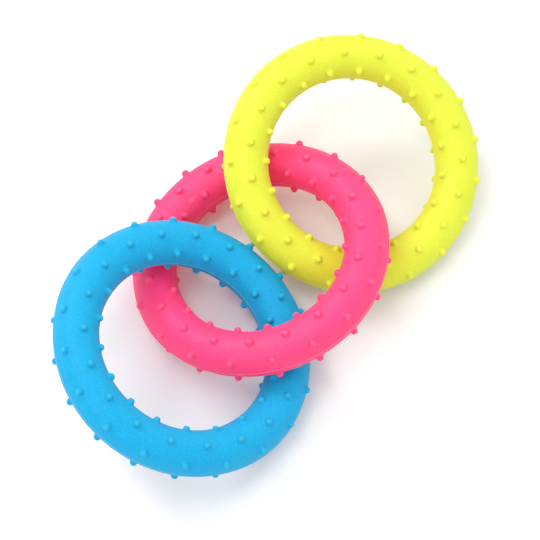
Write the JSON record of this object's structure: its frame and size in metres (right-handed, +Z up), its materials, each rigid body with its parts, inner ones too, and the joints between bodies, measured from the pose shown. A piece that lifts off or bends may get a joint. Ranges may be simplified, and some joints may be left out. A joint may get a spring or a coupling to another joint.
{
  "type": "rubber ring chain chew toy",
  "caption": "Linked rubber chew rings in a short chain; each soft ring has staggered rows of small nubs for teething and tugging.",
  "frame": {"origin": "on the floor under the middle of the chain's outline, so at the bottom centre of the bounding box", "axes": "+Z up from the floor that the chain lies on; the chain runs from the blue ring at -X -Y over the pink ring to the yellow ring at +X +Y"},
  "size_m": [0.1142, 0.1211, 0.0362],
  "materials": {
    "blue_rubber": "satin",
    "pink_rubber": "satin",
    "yellow_rubber": "satin"
  },
  "bodies": {
    "pink_ring": {"pink_ring": "pink_rubber"},
    "blue_ring": {"blue_ring": "blue_rubber"},
    "yellow_ring": {"yellow_ring": "yellow_rubber"}
  },
  "joints": [
    {"name": "blue_fold", "type": "hinge", "parent": "pink_ring", "child": "blue_ring", "pos_m": [0.001, -0.0175, 0.0097], "axis": [-0.19, 0.9261, 0.326], "range_deg": [0, 85]},
    {"name": "yellow_fold", "type": "hinge", "parent": "pink_ring", "child": "yellow_ring", "pos_m": [0.0111, 0.0035, 0.0147], "axis": [0.7821, -0.316, -0.5371], "range_deg": [0, 80]}
  ]
}
